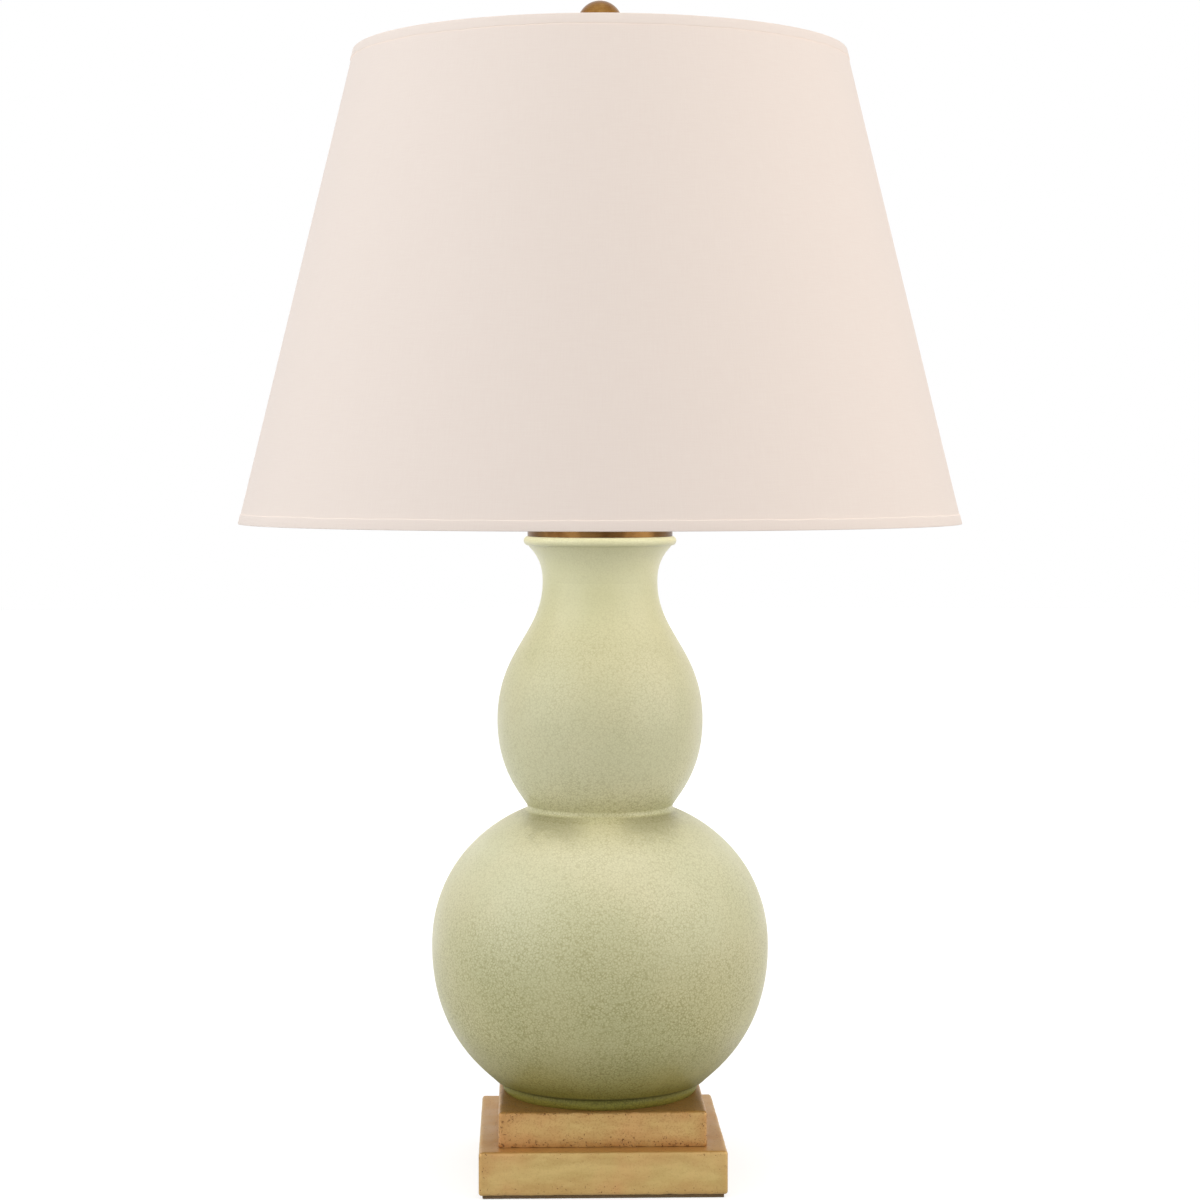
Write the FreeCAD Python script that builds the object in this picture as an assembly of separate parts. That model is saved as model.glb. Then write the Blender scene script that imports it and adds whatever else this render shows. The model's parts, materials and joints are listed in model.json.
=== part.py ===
import FreeCAD, Part

import math
import os

from FreeCAD import Vector

# A table lamp: a double gourd of crackle-glazed ceramic on a stepped, gilded wood plinth, a brass vase
# cap, a lamp socket inside a detachable harp, and a tapered linen shade held down by a ball finial.
# Millimetres. The origin is the centre of the underside, +Z is up, and the lamp's front faces -Y.
# Everything is turned about the Z axis, apart from the square plinth, the harp and the switch.

# ---- driving dimensions -----------------------------------------------------------------------------

# plinth
felt_thickness = 2.0
felt_inset = 2.0
lower_width = 136.6
lower_height = 24.0
upper_width = 115.2
upper_height = 19.5
plinth_edge = 1.2
pocket_radius = 30.0
pocket_depth = 17.0
plinth_screw_spacing = 84.0
screw_shank_radius = 2.1
screw_head_radius = 4.2
screw_head_height = 2.6
screw_length = 34.0
screw_point_length = 4.2
screw_point_radius = 0.5
screw_slot_width = 1.0
screw_slot_depth = 1.3

# cord outlet in the plinth's back
outlet_height = 9.5
bushing_bore_radius = 3.6
bushing_wall = 1.5
bushing_flange = 1.8
bushing_flange_thickness = 1.5
bushing_length = 16.0

# gourd: heights are above its foot, radii are to the glazed outside
gourd_wall = 6.0
foot_radius = 53.8
foot_ring_swell = 1.8
foot_ring_width = 8.0
foot_ring_height = 6.5
foot_groove = 0.9
foot_recess = 4.0
floor_thickness = 8.0
root_radius = 60.0
belly_radius = 95.6
belly_height = 83.4
waist_radius = 40.5
waist_height = 161.4
waist_fillet = 2.0
shoulder_radius = 58.2
shoulder_height = 211.4
neck_radius = 32.5
neck_height = 289.9
lip_radius = 43.2
lip_bead_radius = 2.6
gourd_height = 315.7
mouth_radius = 35.5
mouth_depth = 6.0

# pull of the outline where it leaves each of those circles
root_pull = 9.0
root_angle = 46.0
belly_pull_down = 50.0
belly_pull_up = 44.7
waist_pull_down = 25.4
waist_angle_down = 19.3
waist_pull_up = 6.1
waist_angle_up = 73.9
shoulder_pull_down = 31.7
shoulder_pull_up = 40.2
neck_pull_down = 29.6
neck_pull_up = 10.4
lip_pull = 6.9
lip_angle = 47.6

# vase cap
cap_radius = 41.0
cap_edge_height = 6.5
cap_hub_radius = 14.0
cap_hub_height = 12.0
cap_metal = 1.6
cap_edge_round = 0.8
cap_dome_pull = 9.0
cap_under_pull = 4.5
cap_spigot_depth = 5.0
cap_spigot_clearance = 0.8

# threaded pipe and its nuts
pipe_radius = 4.85
pipe_bore_radius = 3.3
thread_clearance = 0.05
pipe_hole_clearance = 0.4
pipe_tail = 2.0
washer_radius = 14.0
washer_thickness = 1.6
lock_washer_radius = 8.6
lock_washer_thickness = 1.2
lock_washer_gap = 1.5
nut_across_flats = 14.3
nut_height = 5.0
nut_chamfer_height = 0.6
neck_tube_radius = 10.5
neck_tube_wall = 1.0
neck_tube_length = 22.0

# socket
hub_radius = 8.0
hub_height = 8.0
hub_thread_depth = 7.0
socket_cap_metal = 0.9
socket_cap_dome = 11.0
socket_cap_pull = 5.5
socket_cap_rim = 5.0
shell_radius = 17.0
shell_metal = 0.6
shell_length = 44.0
shell_bead = 0.7
socket_gap = 0.15
liner_thickness = 0.7
socket_core_radius = 14.6
core_foot_radius = 8.4
core_foot_height = 12.5
core_height = 30.5
screw_sleeve_metal = 0.6
screw_sleeve_length = 22.0
sleeve_floor_hole_radius = 6.0
contact_radius = 4.0
contact_thickness = 0.6
contact_spring_height = 2.2
contact_tip_radius = 1.3
contact_curl = 1.5
terminal_radius = 2.6
terminal_length = 2.4
terminal_margin = 1.0
setscrew_radius = 1.5
setscrew_stand = 1.6
slot_width = 0.7
slot_depth = 0.8

# turn switch: its axis points to -Y
switch_rise = 27.5
switch_shaft_radius = 1.6
switch_reach = 27.0
switch_bore_start = 4.5
running_clearance = 0.05
switch_hole_clearance = 0.5
knob_hub_radius = 3.4
knob_hub_length = 5.0
knob_width = 15.0
knob_length = 11.0
knob_thickness = 4.4
knob_shoulder_width = 12.9
knob_shoulder_depth = 1.3

# light bulb
bulb_length = 110.0
bulb_radius = 30.0
bulb_cap_radius = 13.0
bulb_cap_length = 17.5
bulb_cap_metal = 0.5
bulb_cap_bevel = 2.0
bulb_thread_clearance = 0.1
bulb_neck_radius = 14.2
bulb_swell = 25.6
bulb_stem_length = 5.8
bulb_glass_wall = 1.0
bulb_insulator_height = 4.5
bulb_insulator_radius = 9.0
bulb_contact_radius = 4.6
bulb_contact_height = 1.2

# harp
harp_leg_spacing = 64.0
harp_width = 104.0
harp_wire_radius = 2.0
harp_leg_length = 24.0
harp_flare_radius = 30.0
harp_flare_angle = 20.0
harp_corner_radius = 25.0
harp_boss_radius = 6.5
harp_boss_height = 5.0
saddle_width = 12.0
saddle_metal = 1.3
saddle_height = 18.0
saddle_bend = 6.0
tongue_height = 9.0
tongue_width = 2.2
tongue_gap = 0.1
harp_notch_offset = 0.2
ferrule_length = 12.0
ferrule_wall = 0.9
ferrule_flange = 0.8
ferrule_flange_height = 1.6
stud_shank_radius = 2.6
stud_thread_radius = 3.1
stud_thread_length = 12.0
stud_shoulder_radius = 6.0
stud_shoulder_height = 2.0
stud_head_radius = 4.2
stud_head_height = 1.2
stud_chamfer = 0.6
stud_play = 0.2

# shade
shade_bottom_radius = 203.2
shade_top_radius = 138.2
shade_height = 263.2
shade_bottom_height = 368.5
linen_thickness = 0.6
lining_thickness = 0.8
hem_thickness = 0.6
hem_height = 5.5
ring_wire_radius = 1.6
spider_drop = 12.7
spider_arms = 3
spider_first_arm = 90.0
arm_wire_radius = 1.5
spider_bend = 7.0
spider_hub_radius = 10.0
spider_hub_thickness = 1.6
spider_hole_clearance = 0.2
arm_notch_clearance = 0.3

# finial
finial_ball_radius = 12.7
finial_ball_height = 28.6
finial_foot_radius = 7.5
finial_foot_height = 2.0
finial_neck_radius = 4.6
finial_bead_radius = 1.6
finial_bead_height = 11.5
finial_thread_clearance = 0.1
finial_bore_depth = 11.8

# ---- places worked out from them --------------------------------------------------------------------

up = Vector(0, 0, 1)
origin = Vector(0, 0, 0)
tolerance = 1e-5

lower_top = felt_thickness + lower_height
plinth_top = lower_top + upper_height
pocket_top = felt_thickness + pocket_depth
lip_top = plinth_top + gourd_height
cap_top = lip_top + cap_hub_height
saddle_base = cap_top + neck_tube_length
socket_base = saddle_base + saddle_metal
shoulder_top = saddle_base + saddle_height
tongue_top = shoulder_top + tongue_height
bottom_nut_top = pocket_top - washer_thickness - lock_washer_thickness
pipe_bottom = bottom_nut_top - nut_height - pipe_tail
pipe_top = socket_base + hub_thread_depth
core_base = socket_base + hub_height
shell_base = socket_base + hub_height + socket_cap_dome
shell_top = shell_base + shell_length
core_top = core_base + core_height
bulb_tip = core_top + contact_thickness + contact_spring_height
switch_height = socket_base + switch_rise
shade_top_height = shade_bottom_height + shade_height
hub_bottom = shade_top_height - spider_drop - spider_hub_thickness / 2
hub_top = hub_bottom + spider_hub_thickness
boss_top = hub_bottom - stud_shoulder_height
boss_bottom = boss_top - harp_boss_height
leg_x = harp_leg_spacing / 2
sleeve_radius = bulb_cap_radius + bulb_thread_clearance
notch_x = leg_x - harp_notch_offset
shade_wall = linen_thickness + lining_thickness
taper = (shade_bottom_radius - shade_top_radius) / shade_height
slant = math.hypot(1, taper)


# ---- drawing helpers --------------------------------------------------------------------------------


class Outline:
    """A closed outline in the XZ plane, drawn edge by edge: x is the radius where it is turned."""

    def __init__(self, x, z):
        self.start = Vector(x, 0, z)
        self.pen = self.start
        self.edges = []

    def line(self, x, z):
        end = Vector(x, 0, z)
        self.edges.append(Part.makeLine(self.pen, end))
        self.pen = end
        return self

    def arc(self, via, to):
        end = Vector(to[0], 0, to[1])
        self.edges.append(Part.Arc(self.pen, Vector(via[0], 0, via[1]), end).toShape())
        self.pen = end
        return self

    def quarter(self, corner, to):
        """A round that leaves and arrives square to a corner point."""
        turn = math.sqrt(0.5)
        x = corner[0] + (self.pen.x + to[0] - 2 * corner[0]) * (1 - turn)
        z = corner[1] + (self.pen.z + to[1] - 2 * corner[1]) * (1 - turn)
        return self.arc((x, z), to)

    def curve(self, leave, arrive, to):
        """A cubic curve: leave and arrive are its pulls at the two ends."""
        end = Vector(to[0], 0, to[1])
        poles = [self.pen, self.pen + Vector(leave[0], 0, leave[1])]
        poles += [end + Vector(arrive[0], 0, arrive[1]), end]
        bezier = Part.BezierCurve()
        bezier.setPoles(poles)
        self.edges.append(bezier.toShape())
        self.pen = end
        return self

    def face(self):
        if self.pen.distanceToPoint(self.start) > tolerance:
            self.line(self.start.x, self.start.z)
        return Part.Face(Part.Wire(self.edges))

    def turn(self):
        return self.face().revolve(origin, up, 360)

    def extrude(self, depth):
        solid = self.face().extrude(Vector(0, depth, 0))
        solid.translate(Vector(0, -depth / 2, 0))
        return solid


def rod(radius, z0, z1, x=0.0, y=0.0):
    return Part.makeCylinder(radius, z1 - z0, Vector(x, y, z0), up)


def tube(outer, inner, z0, z1):
    return rod(outer, z0, z1).cut(rod(inner, z0, z1))


def rod_along(radius, start, end):
    along = end - start
    return Part.makeCylinder(radius, along.Length, start, along)


def block(width, z0, z1):
    corner = Vector(-width / 2, -width / 2, z0)
    return Part.makeBox(width, width, z1 - z0, corner)


def hexagon_nut(z0):
    sides = 6
    top = z0 + nut_height
    flat_radius = nut_across_flats / 2
    corner_radius = flat_radius / math.cos(math.pi / sides)
    corners = []
    for i in range(sides + 1):
        x, y = polar(corner_radius, i * 360 / sides)
        corners.append(Vector(x, y, z0))
    prism = Part.Face(Part.makePolygon(corners)).extrude(Vector(0, 0, nut_height))
    chamfered = Outline(0, z0)
    chamfered.line(flat_radius, z0).line(corner_radius, z0 + nut_chamfer_height)
    chamfered.line(corner_radius, top - nut_chamfer_height).line(flat_radius, top).line(0, top)
    return prism.common(chamfered.turn()).cut(rod(pipe_radius + thread_clearance, z0, top))


def swept(path, radius):
    """A round bar along a path of edges that run tangent to each other."""
    wire = Part.Wire(path)
    first = path[0]
    start = first.valueAt(first.FirstParameter)
    section = Part.Wire(Part.makeCircle(radius, start, first.tangentAt(first.FirstParameter)))
    return wire.makePipeShell([section], True, False)


def polar(length, degrees):
    angle = math.radians(degrees)
    return length * math.cos(angle), length * math.sin(angle)


# ---- plinth -----------------------------------------------------------------------------------------


def screw_places():
    half = plinth_screw_spacing / 2
    return [(x, y) for x in (-half, half) for y in (-half, half)]


def wood_screw(x, y):
    head_end = felt_thickness + screw_head_height
    head = Part.makeCone(
        screw_head_radius, screw_shank_radius, screw_head_height, Vector(x, y, felt_thickness), up
    )
    tip_base = felt_thickness + screw_length - screw_point_length
    shank = rod(screw_shank_radius, head_end, tip_base, x, y)
    tip = Part.makeCone(
        screw_shank_radius, screw_point_radius, screw_point_length, Vector(x, y, tip_base), up
    )
    return head.fuse([shank, tip]).removeSplitter()


def screw_slot(x, y):
    corner = Vector(x - screw_head_radius, y - screw_slot_width / 2, felt_thickness)
    return Part.makeBox(2 * screw_head_radius, screw_slot_width, screw_slot_depth, corner)


def softened(solid, radius):
    """The block with every edge rounded but those of its underside."""
    low = solid.BoundBox.ZMin
    edges = [e for e in solid.Edges if e.BoundBox.ZMax > low + radius]
    return solid.makeFillet(radius, edges)


def pipe_hole(z0, z1):
    return rod(pipe_radius + pipe_hole_clearance, z0, z1)


def make_base_felt():
    return block(lower_width - 2 * felt_inset, 0, felt_thickness)


def make_lower_plinth():
    solid = softened(block(lower_width, felt_thickness, lower_top), plinth_edge)
    pocket = rod(pocket_radius, felt_thickness, pocket_top)
    outlet = rod_along(
        bushing_bore_radius + bushing_wall,
        Vector(0, pocket_radius / 2, felt_thickness + outlet_height),
        Vector(0, lower_width, felt_thickness + outlet_height),
    )
    holes = [wood_screw(x, y) for x, y in screw_places()]
    return solid.cut([pocket, outlet, pipe_hole(pocket_top, lower_top)] + holes)


def make_upper_plinth():
    solid = softened(block(upper_width, lower_top, plinth_top), plinth_edge)
    holes = [wood_screw(x, y) for x, y in screw_places()]
    return solid.cut([pipe_hole(lower_top, plinth_top)] + holes)


def make_plinth_screws():
    return Part.makeCompound([wood_screw(x, y).cut(screw_slot(x, y)) for x, y in screw_places()])


def make_cord_bushing():
    height = felt_thickness + outlet_height
    back = lower_width / 2
    sleeve_radius_out = bushing_bore_radius + bushing_wall
    start = Vector(0, back - bushing_length, height)
    face = Vector(0, back, height)
    end = Vector(0, back + bushing_flange_thickness, height)
    sleeve = rod_along(sleeve_radius_out, start, face)
    flange = rod_along(sleeve_radius_out + bushing_flange, face, end)
    return sleeve.fuse(flange).cut(rod_along(bushing_bore_radius, start, end)).removeSplitter()


# ---- gourd ------------------------------------------------------------------------------------------


def gourd_stations(inset):
    """The circles the outline passes, from the belly up: radius, height, pull down, pull up."""
    waist_out = polar(waist_pull_down, -waist_angle_down)
    waist_in = polar(waist_pull_up, waist_angle_up)
    return [
        (belly_radius - inset, belly_height, (0, -belly_pull_down), (0, belly_pull_up)),
        (waist_radius - inset, waist_height, waist_out, waist_in),
        (shoulder_radius - inset, shoulder_height, (0, -shoulder_pull_down), (0, shoulder_pull_up)),
        (neck_radius - inset, neck_height, (0, -neck_pull_down), (0, neck_pull_up)),
    ]


def make_gourd_body():
    outside = gourd_stations(0)
    inside = gourd_stations(gourd_wall)
    ring_inner = foot_radius - foot_ring_width
    groove_radius = foot_radius + foot_ring_swell - foot_groove
    lip_root = lip_radius - lip_bead_radius
    lip_low = gourd_height - 2 * lip_bead_radius
    lip_in = polar(lip_pull, 180 + lip_angle)
    hole_radius = pipe_radius + pipe_hole_clearance
    floor_top = foot_recess + floor_thickness

    wall = Outline(ring_inner, 0)
    wall.line(foot_radius, 0)
    wall.arc((foot_radius + foot_ring_swell, foot_ring_height / 2), (groove_radius, foot_ring_height))
    wall.line(root_radius, foot_ring_height + foot_groove)
    leave = polar(root_pull, root_angle)
    for radius, height, pull_down, pull_up in outside:
        wall.curve(leave, pull_down, (radius, height))
        leave = pull_up
    wall.curve(leave, lip_in, (lip_root, lip_low))
    wall.arc((lip_radius, gourd_height - lip_bead_radius), (lip_root, gourd_height))
    wall.line(mouth_radius, gourd_height).line(mouth_radius, gourd_height - mouth_depth)
    leave = lip_in
    for radius, height, pull_down, pull_up in reversed(inside):
        wall.curve(leave, pull_up, (radius, height))
        leave = pull_down
    wall.curve(leave, (root_pull, 0), (foot_radius - gourd_wall, floor_top))
    wall.line(hole_radius, floor_top)
    wall.line(hole_radius, foot_recess)
    wall.line(ring_inner, foot_recess)
    solid = wall.turn()
    crease = [
        e
        for e in solid.Edges
        if abs(e.BoundBox.ZMin - waist_height) < tolerance
        and abs(e.BoundBox.ZMax - waist_height) < tolerance
        and abs(e.BoundBox.XMax - waist_radius) < tolerance
    ]
    solid = solid.makeFillet(waist_fillet, crease)
    solid.translate(Vector(0, 0, plinth_top))
    return solid


# ---- vase cap, pipe and nuts ------------------------------------------------------------------------


def make_vase_cap():
    spigot = mouth_radius - cap_spigot_clearance
    under_edge = cap_edge_height - cap_metal
    under_hub = cap_hub_height - cap_metal
    cap = Outline(spigot - cap_metal, -cap_spigot_depth)
    cap.line(spigot, -cap_spigot_depth).line(spigot, 0).line(cap_radius, 0)
    cap.line(cap_radius, cap_edge_height - cap_edge_round)
    cap.quarter((cap_radius, cap_edge_height), (cap_radius - cap_edge_round, cap_edge_height))
    cap.curve((-cap_dome_pull, 0), (cap_dome_pull, 0), (cap_hub_radius, cap_hub_height))
    cap.line(pipe_radius + pipe_hole_clearance, cap_hub_height)
    cap.line(pipe_radius + pipe_hole_clearance, under_hub)
    cap.line(cap_hub_radius - cap_metal, under_hub)
    cap.curve((cap_dome_pull, 0), (-cap_under_pull, 0), (spigot - cap_metal, under_edge))
    solid = cap.turn()
    solid.translate(Vector(0, 0, lip_top))
    return solid


def make_lamp_pipe():
    return tube(pipe_radius, pipe_bore_radius, pipe_bottom, pipe_top)


def make_bottom_washer():
    hole = pipe_radius + pipe_hole_clearance
    return tube(washer_radius, hole, pocket_top - washer_thickness, pocket_top)


def make_lock_washer():
    top = pocket_top - washer_thickness
    ring = tube(lock_washer_radius, pipe_radius + pipe_hole_clearance, bottom_nut_top, top)
    corner = Vector(0, -lock_washer_gap / 2, bottom_nut_top)
    split = Part.makeBox(lock_washer_radius, lock_washer_gap, lock_washer_thickness, corner)
    return ring.cut(split)


def make_bottom_nut():
    return hexagon_nut(bottom_nut_top - nut_height)


def make_top_nut():
    return hexagon_nut(cap_top)


def make_neck_tube():
    return tube(neck_tube_radius, neck_tube_radius - neck_tube_wall, cap_top, saddle_base)


# ---- socket -----------------------------------------------------------------------------------------


def make_socket_cap():
    metal = socket_cap_metal
    rim = shell_radius + socket_gap + metal
    seat = shell_radius - shell_metal - liner_thickness - 2 * socket_gap
    dome_base = socket_base + hub_height
    rim_top = shell_base + socket_cap_rim
    bore = pipe_radius + thread_clearance
    pull = socket_cap_pull
    cap = Outline(bore, socket_base)
    cap.line(hub_radius, socket_base).line(hub_radius, dome_base - metal)
    cap.line(core_foot_radius + metal, dome_base - metal)
    cap.curve((pull, 0), (0, -pull), (rim, shell_base))
    cap.line(rim, rim_top).line(rim - metal, rim_top).line(rim - metal, shell_base)
    cap.line(seat, shell_base)
    cap.curve((0, -pull), (pull, 0), (core_foot_radius + metal, core_base))
    cap.line(pipe_bore_radius, core_base).line(pipe_bore_radius, pipe_top).line(bore, pipe_top)
    screw_hole = rod_along(
        setscrew_radius,
        Vector(pipe_radius, 0, socket_base + hub_height / 2),
        Vector(2 * hub_radius, 0, socket_base + hub_height / 2),
    )
    return cap.turn().cut([screw_hole, switch_passage()])


def make_cap_setscrew():
    height = socket_base + hub_height / 2
    tip = Vector(pipe_radius, 0, height)
    screw = rod_along(setscrew_radius, tip, Vector(hub_radius + setscrew_stand, 0, height))
    corner = Vector(
        hub_radius + setscrew_stand - slot_depth, -setscrew_radius, height - slot_width / 2
    )
    slot = Part.makeBox(slot_depth, 2 * setscrew_radius, slot_width, corner)
    return screw.cut([slot, rod(pipe_radius, socket_base, pipe_top)])


def switch_passage():
    """The hole that the switch's shaft has through each wall of the socket."""
    return rod_along(
        switch_shaft_radius + switch_hole_clearance,
        Vector(0, -socket_core_radius, switch_height),
        Vector(0, -switch_reach, switch_height),
    )


def make_socket_shell():
    inner = shell_radius - shell_metal
    shell = Outline(inner, shell_base)
    shell.line(shell_radius, shell_base)
    shell.line(shell_radius, shell_top - 2 * shell_bead)
    shell.arc((shell_radius + shell_bead, shell_top - shell_bead), (shell_radius, shell_top))
    shell.line(inner, shell_top)
    return shell.turn().cut(switch_passage())


def make_shell_liner():
    outer = shell_radius - shell_metal - socket_gap
    return tube(outer, outer - liner_thickness, shell_base, shell_top).cut(switch_passage())


def make_socket_core():
    """The moulded body that carries the switch, the terminals and the threaded sleeve."""
    foot_top = core_base + core_foot_height
    core = rod(core_foot_radius, core_base, foot_top).fuse(rod(socket_core_radius, foot_top, core_top))
    shaft_bore = rod_along(
        switch_shaft_radius + running_clearance,
        Vector(0, -switch_bore_start, switch_height),
        Vector(0, -socket_core_radius, switch_height),
    )
    width = 2 * socket_core_radius
    height = 2 * (terminal_radius + terminal_margin)
    flats = []
    for side in (-1, 1):
        middle = side * (2 * socket_core_radius - terminal_length)
        corner = Vector(middle - width / 2, -width / 2, foot_top)
        flats.append(Part.makeBox(width, width, height, corner))
    return core.removeSplitter().cut([shaft_bore] + flats)


def make_terminal_screws():
    flat = socket_core_radius - terminal_length
    height = core_base + core_foot_height + terminal_radius + terminal_margin
    screws = []
    for side in (-1, 1):
        face = side * socket_core_radius
        head = rod_along(terminal_radius, Vector(side * flat, 0, height), Vector(face, 0, height))
        corner = Vector(face - slot_depth, -terminal_radius, height - slot_width / 2)
        slot = Part.makeBox(2 * slot_depth, 2 * terminal_radius, slot_width, corner)
        screws.append(head.cut(slot))
    return Part.makeCompound(screws)


def make_screw_sleeve():
    outer = sleeve_radius + screw_sleeve_metal
    top = core_top + screw_sleeve_length
    sleeve = Outline(sleeve_floor_hole_radius, core_top)
    sleeve.line(outer, core_top).line(outer, top).line(sleeve_radius, top)
    sleeve.line(sleeve_radius, core_top + screw_sleeve_metal)
    sleeve.line(sleeve_floor_hole_radius, core_top + screw_sleeve_metal)
    return sleeve.turn()


def make_centre_contact():
    contact = Outline(0, core_top)
    contact.line(contact_radius, core_top).line(contact_radius, core_top + contact_thickness)
    contact.curve((-contact_curl, 0), (contact_curl, 0), (contact_tip_radius, bulb_tip))
    contact.line(0, bulb_tip)
    return contact.turn()


# ---- turn switch ------------------------------------------------------------------------------------


def make_switch_shaft():
    inner = Vector(0, -switch_bore_start - running_clearance, switch_height)
    return rod_along(switch_shaft_radius, inner, Vector(0, -switch_reach, switch_height))


def make_switch_knob():
    """A moulded key: a round hub that waists into a flat, round-ended paddle."""
    hub_start = -switch_reach + knob_hub_length
    hub = rod_along(
        knob_hub_radius,
        Vector(0, hub_start, switch_height),
        Vector(0, -switch_reach - knob_thickness / 2, switch_height),
    )
    half = knob_width / 2
    near = -switch_reach
    far = near - knob_length
    points = [
        Vector(-knob_hub_radius, near, 0),
        Vector(-half, (near + far) / 2, 0),
        Vector(0, far, 0),
        Vector(half, (near + far) / 2, 0),
        Vector(knob_hub_radius, near, 0),
    ]
    shoulder = Vector(knob_shoulder_width / 2, near - knob_shoulder_depth, 0)
    left = Part.Arc(points[0], Vector(-shoulder.x, shoulder.y, 0), points[1])
    leading = Part.Arc(points[1], points[2], points[3])
    right = Part.Arc(points[3], shoulder, points[4])
    edges = [left.toShape(), leading.toShape(), right.toShape(), Part.makeLine(points[4], points[0])]
    paddle = Part.Face(Part.Wire(edges)).extrude(Vector(0, 0, knob_thickness))
    paddle.translate(Vector(0, 0, switch_height - knob_thickness / 2))
    knob = hub.fuse(paddle).removeSplitter()
    return knob.cut(make_switch_shaft())


# ---- light bulb -------------------------------------------------------------------------------------


def make_bulb_glass():
    """An envelope that swells from a straight neck to a round crown."""
    cap_rim = bulb_tip + bulb_contact_height + bulb_insulator_height + bulb_cap_length
    crown = bulb_tip + bulb_length
    centre = crown - bulb_radius
    stem = bulb_cap_radius - bulb_cap_metal
    stem_base = cap_rim - bulb_stem_length
    turn = math.sqrt(0.5)
    wall = bulb_glass_wall
    glass = Outline(stem - wall, stem_base)
    glass.line(stem, stem_base).line(stem, cap_rim).line(bulb_neck_radius, cap_rim)
    glass.curve((0, bulb_swell), (0, -bulb_swell), (bulb_radius, centre))
    glass.arc((bulb_radius * turn, centre + bulb_radius * turn), (0, crown))
    inner = bulb_radius - wall
    glass.line(0, crown - wall)
    glass.arc((inner * turn, centre + inner * turn), (inner, centre))
    glass.curve((0, -bulb_swell), (0, bulb_swell), (stem - wall, cap_rim))
    return glass.turn()


def make_bulb_cap():
    base = bulb_tip + bulb_contact_height + bulb_insulator_height
    inner = bulb_cap_radius - bulb_cap_metal
    top = base + bulb_cap_length
    cap = Outline(bulb_insulator_radius, base)
    cap.line(bulb_cap_radius, base + bulb_cap_bevel).line(bulb_cap_radius, top).line(inner, top)
    cap.line(inner, base + bulb_cap_bevel + bulb_cap_metal)
    cap.line(bulb_insulator_radius - bulb_cap_metal, base + bulb_cap_metal)
    cap.line(bulb_insulator_radius - bulb_cap_metal, base)
    return cap.turn()


def make_bulb_insulator():
    base = bulb_tip + bulb_contact_height
    return Part.makeCone(
        bulb_contact_radius, bulb_insulator_radius, bulb_insulator_height, Vector(0, 0, base), up
    )


def make_bulb_contact():
    contact = Outline(0, bulb_tip)
    contact.line(bulb_contact_radius / 2, bulb_tip)
    contact.quarter((bulb_contact_radius, bulb_tip), (bulb_contact_radius, bulb_tip + bulb_contact_height))
    contact.line(0, bulb_tip + bulb_contact_height)
    return contact.turn()


# ---- harp -------------------------------------------------------------------------------------------


def make_harp_saddle():
    outer = notch_x - tongue_gap
    inner = outer - saddle_metal
    bend = saddle_bend + saddle_metal
    half = Outline(0, saddle_base)
    half.line(outer - bend, saddle_base)
    half.quarter((outer, saddle_base), (outer, saddle_base + bend))
    half.line(outer, shoulder_top).line(inner, shoulder_top).line(inner, saddle_base + bend)
    half.quarter((inner, socket_base), (inner - saddle_bend, socket_base)).line(0, socket_base)
    strip = half.extrude(saddle_width)
    tongue = Outline(outer, shoulder_top)
    tongue.line(outer, tongue_top).line(inner, tongue_top).line(inner, shoulder_top)
    side = strip.fuse(tongue.extrude(tongue_width))
    other = side.mirror(origin, Vector(1, 0, 0))
    hole = rod(pipe_radius + pipe_hole_clearance, saddle_base, socket_base)
    return side.fuse(other).removeSplitter().cut(hole)


def harp_path():
    """The right half of the bow's centreline, from its foot to the middle of the top."""
    foot = shoulder_top + stud_play
    leg_top = shoulder_top + harp_leg_length
    top = boss_bottom + harp_boss_height / 2
    flare = math.radians(harp_flare_angle)
    bow_x = leg_x + harp_flare_radius * (1 - math.cos(flare))
    bow_z = leg_top + harp_flare_radius * math.sin(flare)
    bow_radius = (harp_width / 2 - bow_x) / (1 - math.cos(flare))
    centre_x = harp_width / 2 - bow_radius
    centre_z = bow_z + bow_radius * math.sin(flare)
    lean = math.asin((top - centre_z - harp_corner_radius) / (bow_radius - harp_corner_radius))
    corner_x = centre_x + (bow_radius - harp_corner_radius) * math.cos(lean)
    corner_z = top - harp_corner_radius

    def on_flare(angle):
        x = leg_x + harp_flare_radius * (1 - math.cos(angle))
        return Vector(x, 0, leg_top + harp_flare_radius * math.sin(angle))

    def on_bow(angle):
        x = centre_x + bow_radius * math.cos(angle)
        return Vector(x, 0, centre_z + bow_radius * math.sin(angle))

    def on_corner(angle):
        x = corner_x + harp_corner_radius * math.cos(angle)
        return Vector(x, 0, corner_z + harp_corner_radius * math.sin(angle))

    mid_corner = (lean + math.pi / 2) / 2
    return [
        Part.makeLine(Vector(leg_x, 0, foot), on_flare(0)),
        Part.Arc(on_flare(0), on_flare(flare / 2), on_flare(flare)).toShape(),
        Part.Arc(on_bow(-flare), on_bow(0), on_bow(lean)).toShape(),
        Part.Arc(on_corner(lean), on_corner(mid_corner), on_corner(math.pi / 2)).toShape(),
        Part.makeLine(on_corner(math.pi / 2), Vector(0, 0, top)),
    ]


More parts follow.
